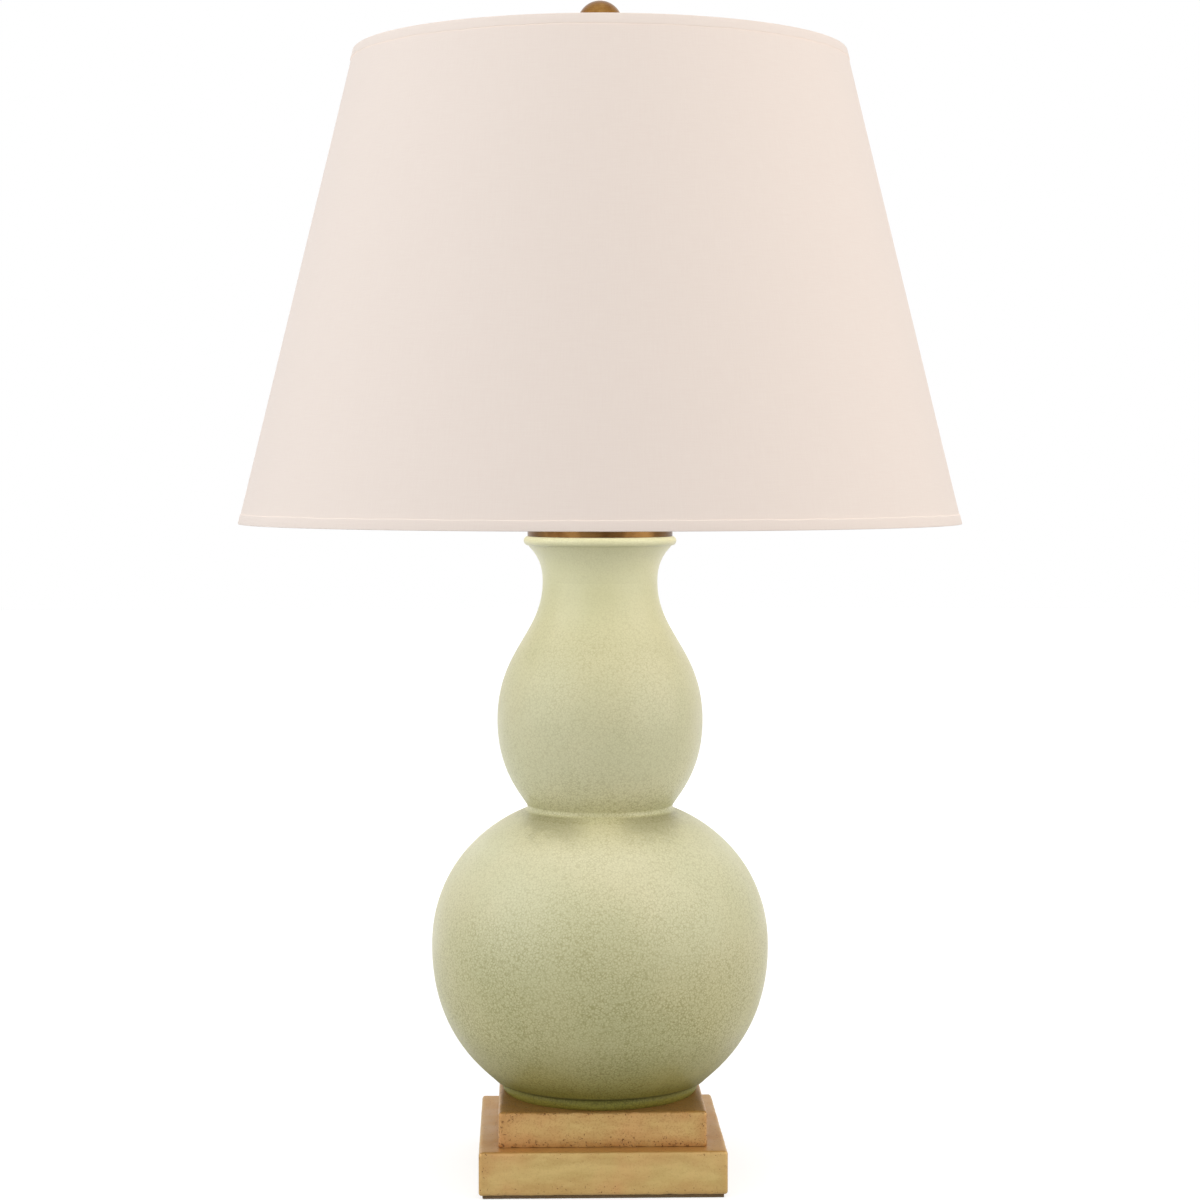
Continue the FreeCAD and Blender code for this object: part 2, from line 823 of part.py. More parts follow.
def make_harp_bow():
    side = swept(harp_path(), harp_wire_radius)
    # the lowest stretch of each leg is cut back to a half round, which hooks over the saddle's tongue
    width = 2 * harp_wire_radius
    corner = Vector(notch_x - width, -harp_wire_radius, shoulder_top)
    notch = Part.makeBox(width, width, tongue_top + stud_play - shoulder_top, corner)
    side = side.cut(notch)
    other = side.mirror(origin, Vector(1, 0, 0))
    boss = rod(harp_boss_radius, boss_bottom, boss_top)
    bore = rod(stud_shank_radius + running_clearance, boss_bottom, boss_top)
    return boss.fuse([side, other]).removeSplitter().cut(bore)


def make_harp_ferrule(side):
    bore = harp_wire_radius + running_clearance
    outer = bore + ferrule_wall
    flange = outer + ferrule_flange
    top = shoulder_top + ferrule_length
    ferrule = Outline(bore, shoulder_top)
    ferrule.line(outer, shoulder_top).line(outer, top - ferrule_flange_height)
    ferrule.arc((flange, top - ferrule_flange_height / 2), (outer, top)).line(bore, top)
    solid = ferrule.turn()
    solid.translate(Vector(side * leg_x, 0, 0))
    return solid


def make_harp_stud():
    head_top = boss_bottom - stud_play
    thread_top = hub_bottom + stud_thread_length
    stud = Outline(0, head_top - stud_head_height)
    stud.line(stud_head_radius - stud_head_height / 2, head_top - stud_head_height)
    stud.line(stud_head_radius, head_top).line(stud_shank_radius, head_top)
    stud.line(stud_shank_radius, boss_top).line(stud_shoulder_radius, boss_top)
    stud.line(stud_shoulder_radius, hub_bottom).line(stud_thread_radius, hub_bottom)
    stud.line(stud_thread_radius, thread_top - stud_chamfer)
    stud.line(stud_thread_radius - stud_chamfer, thread_top).line(0, thread_top)
    return stud.turn()


# ---- shade ------------------------------------------------------------------------------------------


def shade_point(depth, height):
    """Radius and height of a point so deep inside the shade's outside and so high above its rim."""
    return shade_bottom_radius - taper * height - depth, shade_bottom_height + height


def shade_layer(outer, inner):
    low = hem_thickness
    high = shade_height - hem_thickness
    layer = Outline(*shade_point(outer, low))
    layer.line(*shade_point(outer, high)).line(*shade_point(inner, high)).line(*shade_point(inner, low))
    return layer.turn()


def make_shade_linen():
    return shade_layer(hem_thickness, hem_thickness + linen_thickness)


def make_shade_lining():
    return shade_layer(hem_thickness + linen_thickness, hem_thickness + shade_wall)


def shade_hem(rim, up_or_down):
    """A strip folded over the rim and the wire in it, drawn from the rim towards the middle."""
    hug = hem_thickness + shade_wall
    wire = 2 * ring_wire_radius
    inside = hug + wire * slant
    points = [
        (0, hem_height),
        (0, 0),
        (inside + hem_thickness, 0),
        (inside + hem_thickness, wire + hem_thickness),
        (hug + hem_thickness, hem_height),
        (hug, hem_height),
        (inside, wire + hem_thickness),
        (inside, hem_thickness),
        (hem_thickness, hem_thickness),
        (hem_thickness, hem_height),
    ]
    hem = Outline(*shade_point(points[0][0], rim + up_or_down * points[0][1]))
    for depth, height in points[1:]:
        hem.line(*shade_point(depth, rim + up_or_down * height))
    return hem.turn()


def shade_ring_place(height):
    return shade_point(hem_thickness + shade_wall + ring_wire_radius * slant, height)


def shade_ring(height):
    radius, place = shade_ring_place(height)
    return Part.makeTorus(radius, ring_wire_radius, Vector(0, 0, place), up)


def make_shade_bottom_ring():
    return shade_ring(hem_thickness + ring_wire_radius)


def spider_arm(wire_radius, index):
    ring_radius, ring_height = shade_ring_place(shade_height - hem_thickness - ring_wire_radius)
    height = (hub_bottom + hub_top) / 2
    bend_x = ring_radius - spider_bend
    turn = math.sqrt(0.5)
    mid = Vector(bend_x + spider_bend * turn, 0, height + spider_bend * (1 - turn))
    bend_start = Vector(bend_x, 0, height)
    bend_end = Vector(ring_radius, 0, height + spider_bend)
    path = [
        Part.makeLine(Vector(spider_hub_radius - wire_radius, 0, height), bend_start),
        Part.Arc(bend_start, mid, bend_end).toShape(),
        Part.makeLine(bend_end, Vector(ring_radius, 0, ring_height)),
    ]
    arm = swept(path, wire_radius)
    arm.rotate(origin, up, spider_first_arm + index * 360 / spider_arms)
    return arm


def make_spider_fitter():
    ring = shade_ring(shade_height - hem_thickness - ring_wire_radius)
    hub = tube(spider_hub_radius, stud_thread_radius + spider_hole_clearance, hub_bottom, hub_top)
    arms = [spider_arm(arm_wire_radius, i) for i in range(spider_arms)]
    return ring.fuse([hub] + arms)


def make_shade_top_hem():
    notches = [spider_arm(arm_wire_radius + arm_notch_clearance, i) for i in range(spider_arms)]
    return shade_hem(shade_height, -1).cut(notches)


def make_shade_bottom_hem():
    return shade_hem(0, 1)


# ---- finial -----------------------------------------------------------------------------------------


def make_finial():
    """A turned ball on a coved foot, with a blind threaded hole from below."""
    bore = stud_thread_radius + finial_thread_clearance
    neck = finial_neck_radius
    foot = finial_foot_height
    cove = finial_foot_radius - neck
    ball_low = finial_ball_height - math.sqrt(finial_ball_radius**2 - neck**2)
    bead_low = finial_bead_height - finial_bead_radius
    bead_high = finial_bead_height + finial_bead_radius
    ball_top = finial_ball_height + finial_ball_radius
    finial = Outline(bore, 0)
    finial.line(finial_foot_radius, 0).line(finial_foot_radius, foot)
    finial.quarter((neck, foot), (neck, foot + cove))
    finial.line(neck, bead_low)
    finial.arc((neck + finial_bead_radius, finial_bead_height), (neck, bead_high))
    finial.line(neck, ball_low)
    finial.arc((finial_ball_radius, finial_ball_height), (0, ball_top))
    finial.line(0, finial_bore_depth).line(bore, finial_bore_depth)
    solid = finial.turn()
    solid.translate(Vector(0, 0, hub_top))
    return solid


# ---- the whole lamp ---------------------------------------------------------------------------------

pieces = {
    "base_felt": make_base_felt(),
    "lower_plinth": make_lower_plinth(),
    "upper_plinth": make_upper_plinth(),
    "plinth_screws": make_plinth_screws(),
    "cord_bushing": make_cord_bushing(),
    "gourd_body": make_gourd_body(),
    "vase_cap": make_vase_cap(),
    "lamp_pipe": make_lamp_pipe(),
    "bottom_washer": make_bottom_washer(),
    "lock_washer": make_lock_washer(),
    "bottom_nut": make_bottom_nut(),
    "top_nut": make_top_nut(),
    "neck_tube": make_neck_tube(),
    "socket_cap": make_socket_cap(),
    "cap_setscrew": make_cap_setscrew(),
    "socket_shell": make_socket_shell(),
    "shell_liner": make_shell_liner(),
    "socket_core": make_socket_core(),
    "terminal_screws": make_terminal_screws(),
    "screw_sleeve": make_screw_sleeve(),
    "centre_contact": make_centre_contact(),
    "switch_shaft": make_switch_shaft(),
    "switch_knob": make_switch_knob(),
    "bulb_glass": make_bulb_glass(),
    "bulb_cap": make_bulb_cap(),
    "bulb_insulator": make_bulb_insulator(),
    "bulb_contact": make_bulb_contact(),
    "harp_saddle": make_harp_saddle(),
    "harp_bow": make_harp_bow(),
    "harp_ferrule_left": make_harp_ferrule(-1),
    "harp_ferrule_right": make_harp_ferrule(1),
    "harp_stud": make_harp_stud(),
    "shade_linen": make_shade_linen(),
    "shade_lining": make_shade_lining(),
    "spider_fitter": make_spider_fitter(),
    "shade_top_hem": make_shade_top_hem(),
    "shade_bottom_hem": make_shade_bottom_hem(),
    "shade_bottom_ring": make_shade_bottom_ring(),
    "finial": make_finial(),
}

os.makedirs("parts", exist_ok=True)
for name, shape in pieces.items():
    shape.exportStep(f"parts/{name}.step")
    solids = len(shape.Solids)
    print(f"{name}: {solids} solid(s), valid {shape.isValid()}, volume {shape.Volume:.1f}")
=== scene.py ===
import json
import math

import bmesh
import bpy
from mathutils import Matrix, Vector, noise


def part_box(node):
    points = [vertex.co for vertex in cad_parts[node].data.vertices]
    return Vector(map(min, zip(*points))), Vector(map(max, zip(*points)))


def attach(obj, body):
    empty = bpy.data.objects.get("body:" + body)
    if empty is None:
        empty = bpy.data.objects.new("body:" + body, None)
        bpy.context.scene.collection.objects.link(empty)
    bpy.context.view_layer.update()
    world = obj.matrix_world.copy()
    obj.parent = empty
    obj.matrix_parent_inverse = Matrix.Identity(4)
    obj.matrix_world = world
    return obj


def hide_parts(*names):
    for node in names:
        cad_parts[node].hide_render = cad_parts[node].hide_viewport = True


# A table lamp: crackle-glazed double gourd, gilded wood plinth, aged brass cap and finial, linen shade.
# Metres. The lamp stands at the origin, +Z is up and its front faces -Y.

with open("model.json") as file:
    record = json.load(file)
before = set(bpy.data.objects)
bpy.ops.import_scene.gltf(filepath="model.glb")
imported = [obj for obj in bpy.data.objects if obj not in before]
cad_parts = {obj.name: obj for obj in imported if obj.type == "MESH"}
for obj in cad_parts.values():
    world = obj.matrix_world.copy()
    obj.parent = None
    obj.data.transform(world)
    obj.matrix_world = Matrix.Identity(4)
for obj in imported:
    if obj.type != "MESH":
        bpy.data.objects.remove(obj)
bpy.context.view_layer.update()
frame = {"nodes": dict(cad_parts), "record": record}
nodes = frame["nodes"]

MM = 0.001
# faces that meet at less than this are shaded as one smooth surface
SMOOTH_BELOW = math.radians(35)


# ---- camera -----------------------------------------------------------------------------------------

# it stands a little to the left of the front and looks slightly down
CAMERA_DISTANCE = 1.5276
CAMERA_HEIGHT = 0.4005
CAMERA_AZIMUTH = math.radians(1.6)
CAMERA_DIP = math.radians(2.832)
CAMERA_LENS_MM = 81.0
SENSOR_MM = 36.0


def make_camera():
    data = bpy.data.cameras.new("camera")
    data.lens = CAMERA_LENS_MM
    data.sensor_width = SENSOR_MM
    data.sensor_height = SENSOR_MM
    data.clip_start = 0.01
    data.clip_end = 50
    camera = bpy.data.objects.new("camera", data)
    bpy.context.scene.collection.objects.link(camera)
    camera.location = (
        -CAMERA_DISTANCE * math.sin(CAMERA_AZIMUTH),
        -CAMERA_DISTANCE * math.cos(CAMERA_AZIMUTH),
        CAMERA_HEIGHT,
    )
    camera.rotation_euler = (math.pi / 2 - CAMERA_DIP, 0, -CAMERA_AZIMUTH)
    bpy.context.scene.camera = camera


# ---- shader helpers ---------------------------------------------------------------------------------


class NodeTree:
    """A shader's node tree. Its methods add nodes, and most give back the output of the last one."""

    def __init__(self, tree):
        self.tree = tree
        self.tree.nodes.clear()

    def add(self, kind, settings=None, **inputs):
        """Adds one node with its settings and inputs, and gives back the node."""
        node = self.tree.nodes.new(kind)
        for key, value in (settings or {}).items():
            setattr(node, key, value)
        for key, value in inputs.items():
            self.feed(node.inputs[key.replace("_", " ")], value)
        return node

    def join(self, source, target):
        self.tree.links.new(source, target)

    def feed(self, socket, value):
        """A value is another node's output, a colour, or a number."""
        if isinstance(value, bpy.types.NodeSocket):
            self.join(value, socket)
        elif isinstance(value, (tuple, list)) and socket.type == "RGBA":
            socket.default_value = (*value[:3], 1.0)
        else:
            socket.default_value = value

    def math(self, operation, first, second=0.0):
        node = self.add("ShaderNodeMath", {"operation": operation})
        self.feed(node.inputs[0], first)
        self.feed(node.inputs[1], second)
        return node.outputs[0]

    def product(self, first, *others):
        result = first
        for value in others:
            result = self.math("MULTIPLY", result, value)
        return result

    def ramp(self, value, low, high, to_low=0.0, to_high=1.0):
        """value from low to high, mapped smoothly to to_low to to_high, and held there beyond them."""
        node = self.add(
            "ShaderNodeMapRange",
            {"interpolation_type": "SMOOTHSTEP", "clamp": True},
            Value=value,
            From_Min=low,
            From_Max=high,
            To_Min=to_low,
            To_Max=to_high,
        )
        return node.outputs[0]

    def mix(self, share, first, second, blend="MIX"):
        """The first colour, with a share from 0 to 1 of the second blended in."""
        node = self.add("ShaderNodeMix", {"data_type": "RGBA", "blend_type": blend})
        # the node's colours are its seventh and eighth inputs and its third output
        for index, value in ((0, share), (6, first), (7, second)):
            self.feed(node.inputs[index], value)
        return node.outputs[2]

    def gradient(self, value, stops):
        """The colour for a value from 0 to 1, between stops of a place and a colour each."""
        node = self.add("ShaderNodeValToRGB", Fac=value)
        elements = node.color_ramp.elements
        for place, _ in stops[1:-1]:
            elements.new(place)
        for element, (place, colour) in zip(elements, stops):
            element.position = place
            element.color = (*colour, 1.0)
        return node.outputs[0]

    def seen(self):
        """1 for camera, glossy and transmission rays, and 0 for the rays that carry diffuse light."""
        path = self.add("ShaderNodeLightPath")
        direct = self.math("MAXIMUM", path.outputs["Is Camera Ray"], path.outputs["Is Glossy Ray"])
        return self.math("MAXIMUM", direct, path.outputs["Is Transmission Ray"])


class Material(NodeTree):
    """One procedural material, built around a Principled shader. Its patterns lie in metres."""

    def __init__(self, name, **constants):
        self.data = bpy.data.materials.new(name)
        self.data.use_nodes = True
        super().__init__(self.data.node_tree)
        self.output = self.add("ShaderNodeOutputMaterial")
        self.shader = self.add("ShaderNodeBsdfPrincipled", **constants)
        self.join(self.shader.outputs[0], self.output.inputs["Surface"])
        self.place = self.add("ShaderNodeTexCoord").outputs["Object"]

    def axes(self):
        """x, y and z, as three outputs."""
        parts = self.add("ShaderNodeSeparateXYZ", Vector=self.place)
        return parts.outputs[0], parts.outputs[1], parts.outputs[2]

    def stretched(self, x, y, z, place=None):
        return self.add("ShaderNodeMapping", Vector=place or self.place, Scale=(x, y, z)).outputs[0]

    def warped(self, scale, detail, reach):
        """The object's coordinates, each pushed by a noise by up to reach."""
        push = self.add("ShaderNodeTexNoise", Vector=self.place, Scale=scale, Detail=detail)
        short = self.add("ShaderNodeVectorMath", {"operation": "SCALE"}, Scale=reach)
        self.join(push.outputs["Color"], short.inputs[0])
        pushed = self.add("ShaderNodeVectorMath", {"operation": "ADD"}, Vector=self.place)
        self.join(short.outputs[0], pushed.inputs[1])
        return pushed.outputs[0]

    def noise(self, scale, detail=3.0, roughness=0.5, place=None):
        """A soft noise from 0 to 1. scale is how many of its swells there are in a metre."""
        node = self.add(
            "ShaderNodeTexNoise",
            Vector=place or self.place,
            Scale=scale,
            Detail=detail,
            Roughness=roughness,
        )
        return node.outputs["Fac"]

    def swing(self, size, *shape):
        """A noise that swings about zero, with size between its ends. shape is what noise takes."""
        return self.math("MULTIPLY", self.math("SUBTRACT", self.noise(*shape), 0.5), size)

    def cell_edges(self, scale, place):
        """The distance to the nearest edge between cells."""
        settings = {"feature": "DISTANCE_TO_EDGE"}
        return self.add("ShaderNodeTexVoronoi", settings, Vector=place, Scale=scale).outputs["Distance"]

    def colour(self, value):
        self.feed(self.shader.inputs["Base Color"], value)

    def roughness(self, value):
        self.feed(self.shader.inputs["Roughness"], value)

    def bump(self, height, depth, strength):
        """height from 0 to 1 raises the surface by depth metres. A second bump adds to the first."""
        node = self.add("ShaderNodeBump", Height=height, Distance=depth, Strength=strength)
        old = self.shader.inputs["Normal"].links
        if old:
            self.join(old[0].from_socket, node.inputs["Normal"])
        self.join(node.outputs[0], self.shader.inputs["Normal"])

    def add_white(self, share):
        """Adds white to what camera, glossy and transmission rays see, and nothing to the light."""
        strength = self.math("MULTIPLY", self.seen(), share)
        glow = self.add("ShaderNodeEmission", Color=(1, 1, 1), Strength=strength)
        total = self.add("ShaderNodeAddShader")
        self.join(self.shader.outputs[0], total.inputs[0])
        self.join(glow.outputs[0], total.inputs[1])
        self.join(total.outputs[0], self.output.inputs["Surface"])


def linear(red, green, blue):
    """A colour as it shows on screen, from 0 to 255, as the linear values that shaders take."""
    shares = (red / 255, green / 255, blue / 255)
    return tuple(
        share / 12.92 if share <= 0.04045 else ((share + 0.055) / 1.055) ** 2.4 for share in shares
    )


# ---- glaze ------------------------------------------------------------------------------------------

WAIST_ABOVE_FOOT = 161 * MM
GROOVE_ABOVE_FOOT = 6.8 * MM

# its colour on screen by height: 0 at the foot, 0.51 at the waist and 1 at the lip. It is partly the
# glaze's own tone, olive where it pools at the foot, and partly painted light and shade: lighter at the
# neck, at the lip and where each bulb faces up, darker at the waist and low on the lower bulb
GLAZE_AND_PAINTED_LIGHT_BY_HEIGHT = [
    (0.0, (132, 128, 46)),
    (0.03, (136, 131, 60)),
    (0.06, (176, 169, 106)),
    (0.14, (206, 201, 150)),
    (0.28, (210, 205, 162)),
    (0.45, (217, 213, 178)),
    (0.498, (206, 201, 162)),
    (0.515, (212, 208, 166)),
    (0.55, (228, 224, 186)),
    (0.66, (213, 209, 172)),
    (0.80, (206, 202, 164)),
    (0.90, (216, 212, 172)),
    (0.97, (228, 224, 187)),
    (1.0, (229, 224, 185)),
]


def painted_waist_shade(m, x, z, waist):
    """Painted shade: soft dark patches under the waist, to either side of the front and the back, where
    the upper bulb shades the lower one.
    """
    wander = m.swing(12 * MM, 120, 4, 0.6)
    depth = m.math("ADD", m.math("SUBTRACT", waist, z), wander)
    fading = m.ramp(depth, 4 * MM, 15 * MM, 1.0, 0.0)
    below_waist = m.ramp(z, waist - 1 * MM, waist, 1.0, 0.0)
    sideways = m.math("ADD", m.math("ABSOLUTE", x), wander)
    off_middle = m.ramp(sideways, 4 * MM, 20 * MM)
    off_side = m.ramp(sideways, 36 * MM, 48 * MM, 1.0, 0.0)
    return m.product(fading, below_waist, off_middle, off_side, 0.75)


def crackle_lines(m):
    """1 on the crackle's fine broken lines, and 0 between them."""
    # cells about 1.6 mm across, with bent sides
    fine = m.ramp(m.cell_edges(640, m.warped(420, 2, 1.5 * MM)), 0.0, 0.26, 1.0, 0.0)
    # broken into strokes, and fainter in places
    strokes = m.ramp(m.noise(620, 2), 0.38, 0.62, 0.35, 1.0)
    patches = m.ramp(m.noise(26, 3), 0.3, 0.62, 0.7, 1.0)
    return m.product(fine, strokes, patches)


def crackle_strength(m, share):
    """Strong where the glaze is thick, low on each bulb, and fainter towards the neck."""
    lower_bulb = m.ramp(share, 0.10, 0.46, 1.0, 0.5)
    upper_bulb = m.ramp(share, 0.50, 0.62, 0.8, 0.42)
    is_upper = m.math("GREATER_THAN", share, 0.5)
    change = m.math("MULTIPLY", m.math("SUBTRACT", upper_bulb, lower_bulb), is_upper)
    neck = m.ramp(share, 0.78, 0.93, 1.0, 0.45)
    return m.math("MULTIPLY", m.math("ADD", change, lower_bulb), neck)


def celadon_glaze():
    """Pale green-grey glaze with a fine crackle, pale at the lip and pooled olive at the foot, with
    painted light and shade: lighter bulb tops and neck, and painted shade at the waist, low on the lower
    bulb and in the foot groove.
    """
    low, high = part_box("gourd_body")
    m = Material("celadon_glaze", IOR=1.4, Coat_Weight=0.12, Coat_Roughness=0.3)
    x, _, z = m.axes()
    share = m.math("DIVIDE", m.math("SUBTRACT", z, low.z), high.z - low.z)
    run = m.swing(0.02, 30, 3, 0.5, m.stretched(1, 1, 0.3))
    stops = [(place, linear(*colour)) for place, colour in GLAZE_AND_PAINTED_LIGHT_BY_HEIGHT]
    # the glaze's tone by height, with painted light and shade in it
    body = m.gradient(m.math("ADD", share, run), stops)
    cooler = m.mix(1.0, body, linear(247, 250, 248), "MULTIPLY")
    body = m.mix(m.ramp(m.noise(14, 4), 0.35, 0.65), body, cooler)
    waist_shade = painted_waist_shade(m, x, z, low.z + WAIST_ABOVE_FOOT)
    # painted shade under the waist, in a darker olive
    body = m.mix(waist_shade, body, linear(166, 162, 126))
    lines = crackle_lines(m)
    stained = m.mix(1.0, body, linear(204, 199, 174), "MULTIPLY")
    body = m.mix(m.math("MULTIPLY", lines, crackle_strength(m, share)), body, stained)
    # painted shade: a dark olive line in the groove between the foot ring and the body
    from_groove = m.math("ABSOLUTE", m.math("SUBTRACT", z, low.z + GROOVE_ABOVE_FOOT))
    groove_shade = m.ramp(from_groove, 0.4 * MM, 1.8 * MM, 0.75, 0.0)
    m.colour(m.mix(groove_shade, body, linear(64, 62, 18)))
    dull_foot = m.ramp(share, 0.02, 0.12, 0.36, 0.0)
    m.roughness(m.math("ADD", m.ramp(m.noise(40, 4), 0.3, 0.7, 0.34, 0.44), dull_foot))
    m.bump(lines, -0.04 * MM, 0.5)
    m.bump(m.noise(38, 3), 0.25 * MM, 0.35)
    return m.data


# ---- gilding ----------------------------------------------------------------------------------------

COPPERY = linear(206, 152, 100)
OLIVE = linear(184, 164, 98)
WORN_EDGE = linear(176, 118, 62)
# red-brown for the upward faces: rubbed gilding, and painted shade on the treads
RUBBED_AND_SHADED_TREAD = linear(188, 140, 74)
DARK_GRAIN = linear(150, 104, 56)
PIT = linear(100, 60, 28)


def edge_wear(m, low, high):
    """1 along a block's outer edges and 0 away from them, with a wandering border."""
    x, y, z = m.axes()
    side_x = m.math("SUBTRACT", high.x, m.math("ABSOLUTE", x))
    side_y = m.math("SUBTRACT", high.y, m.math("ABSOLUTE", y))
    above_bottom = m.math("SUBTRACT", z, low.z)
    below_top = m.math("ADD", m.math("SUBTRACT", high.z, z), 3 * MM)
    rim = m.math("MINIMUM", above_bottom, below_top)
    from_edge = m.math("MINIMUM", m.math("MAXIMUM", side_x, side_y), rim)
    return m.ramp(m.math("ADD", from_edge, m.swing(14 * MM, 70, 3)), 0.0, 12 * MM, 1.0, 0.0)


def gilt_wood(name, node, pale, deep, pitting):
    """Aged gold leaf over wood: brushed and mottled, with dark pits that gather along the edges."""
    low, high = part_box(node)
    m = Material(name, Metallic=0.5, IOR=1.5)
    brushed = m.noise(110, 4, 0.6, m.stretched(0.5, 0.5, 1.8))
    body = m.mix(m.ramp(brushed, 0.3, 0.7), deep, pale)
    body = m.mix(m.ramp(m.noise(26, 3), 0.45, 0.75, 0.0, 0.6), body, COPPERY)
    body = m.mix(m.ramp(m.noise(34, 2), 0.5, 0.7, 0.0, 0.22), body, OLIVE)
    worn = edge_wear(m, low, high)
    body = m.mix(m.math("MULTIPLY", worn, 0.25 + 0.2 * pitting), body, WORN_EDGE)
    # the upward faces are painted red-brown: partly the gold rubbed down to its ground where the treads
    # are handled and dusted, and partly painted shade on the treads
    normal = m.add("ShaderNodeTexCoord").outputs["Normal"]
    upward = m.add("ShaderNodeSeparateXYZ", Vector=normal).outputs[2]
    tread_wear_and_shade = m.math("MULTIPLY", m.ramp(upward, 0.6, 0.95), m.ramp(brushed, 0.3, 0.7, 0.55, 0.8))
    body = m.mix(tread_wear_and_shade, body, RUBBED_AND_SHADED_TREAD)
    grain = m.ramp(m.noise(1000, 3, 0.7), 0.35, 0.5, 0.12 + 0.25 * pitting, 0.0)
    body = m.mix(grain, body, DARK_GRAIN)
    # where the wear is, a lower cut lets more of the noise through as pits
    cut = m.ramp(worn, 0.0, 1.0, 0.72, 0.65 - 0.065 * pitting)
    pits = m.ramp(m.math("SUBTRACT", m.noise(860, 3, 0.65), cut), 0.0, 0.04)
    m.colour(m.mix(m.math("MULTIPLY", pits, 0.85), body, PIT))
    m.roughness(m.ramp(brushed, 0.3, 0.7, 0.38, 0.5))
    m.bump(pits, -0.3 * MM, 0.8)
    m.bump(brushed, 0.1 * MM, 0.3)
    return m.data


# ---- cloth and felt ---------------------------------------------------------------------------------

# the weave is laid out on a cylinder of about the shade's mean radius
WEAVE_RADIUS = 170 * MM
THREAD_SCALE = 75
THREAD_STRETCH = 28.0


def linen(name):
    """Plain-weave linen, laminated flat: warp and weft with slubs, on a cone about the Z axis."""
    m = Material(name, Roughness=0.85, IOR=1.45, Sheen_Weight=0.15, Sheen_Roughness=0.5)
    x, y, z = m.axes()
    around = m.math("MULTIPLY", m.math("ARCTAN2", y, x), WEAVE_RADIUS)
    unrolled = m.add("ShaderNodeCombineXYZ", X=around, Z=z).outputs[0]
    upright = m.noise(THREAD_SCALE, 2, 0.6, m.stretched(THREAD_STRETCH, 1.0, 1.0, unrolled))
    level = m.noise(THREAD_SCALE, 2, 0.6, m.stretched(1.0, 1.0, THREAD_STRETCH, unrolled))
    weave = m.math("MULTIPLY", m.math("ADD", upright, level), 0.5)
    m.colour(m.mix(m.ramp(weave, 0.34, 0.66), linear(239, 225, 215), linear(241, 228, 218)))
    m.bump(weave, 0.1 * MM, 0.2)
    return m.data


def felt():
    m = Material("felt", Roughness=0.95, Sheen_Weight=0.4, Sheen_Roughness=0.6)
    fibres = m.noise(1300, 5, 0.75, m.stretched(1, 1, 2.5))
    m.colour(m.mix(m.ramp(fibres, 0.3, 0.7), linear(92, 72, 44), linear(136, 110, 70)))
    m.bump(fibres, 0.4 * MM, 0.8)
    return m.data


# ---- metals, plastics and glass ---------------------------------------------------------------------


def turned_metal(name, pale, deep, roughness):
    """Metal finished in a lathe: fine rings about the Z axis, and a patchy tarnish."""
    m = Material(name, Metallic=1.0)
    x, y, z = m.axes()
    radius = m.math("SQRT", m.math("ADD", m.math("MULTIPLY", x, x), m.math("MULTIPLY", y, y)))
    rings = m.add("ShaderNodeCombineXYZ", X=radius, Z=z).outputs[0]
    turned = m.noise(3500, 2, 0.6, rings)
    m.colour(m.mix(m.ramp(m.noise(55, 4, 0.6), 0.35, 0.7), pale, deep))
    m.roughness(m.math("ADD", m.ramp(turned, 0.3, 0.7, -0.05, 0.07), roughness))
    m.bump(turned, 0.03 * MM, 0.35)
    return m.data


def plated_metal(name, pale, deep, roughness):
    """Metal with a fine even grain."""
    m = Material(name, Metallic=1.0)
    grain = m.noise(900, 3, 0.6)
    m.colour(m.mix(m.ramp(m.noise(120, 3), 0.35, 0.65), pale, deep))
    m.roughness(m.math("ADD", m.ramp(grain, 0.3, 0.7, -0.05, 0.08), roughness))
    m.bump(grain, 0.03 * MM, 0.4)
    return m.data


def moulded(name, pale, deep, roughness):
    """A moulded plastic, fibre or glass solid with a fine grain."""
    m = Material(name, IOR=1.5)
    grain = m.noise(1500, 3, 0.6)
    m.colour(m.mix(m.ramp(m.noise(90, 3), 0.35, 0.65), pale, deep))
    m.roughness(m.math("ADD", m.ramp(grain, 0.3, 0.7, -0.05, 0.06), roughness))
    m.bump(grain, 0.04 * MM, 0.4)
    return m.data


def frosted_glass():
    m = Material("frosted_glass", IOR=1.45, Transmission_Weight=0.25)
    m.colour(m.mix(m.ramp(m.noise(30, 2), 0.3, 0.7), linear(244, 243, 238), linear(236, 236, 230)))
    m.roughness(m.ramp(m.noise(1600, 2), 0.3, 0.7, 0.42, 0.55))
    return m.data


# ---- a material for each slot -----------------------------------------------------------------------

SATIN_BRASS = ((206, 172, 112), (176, 138, 82), 0.3)

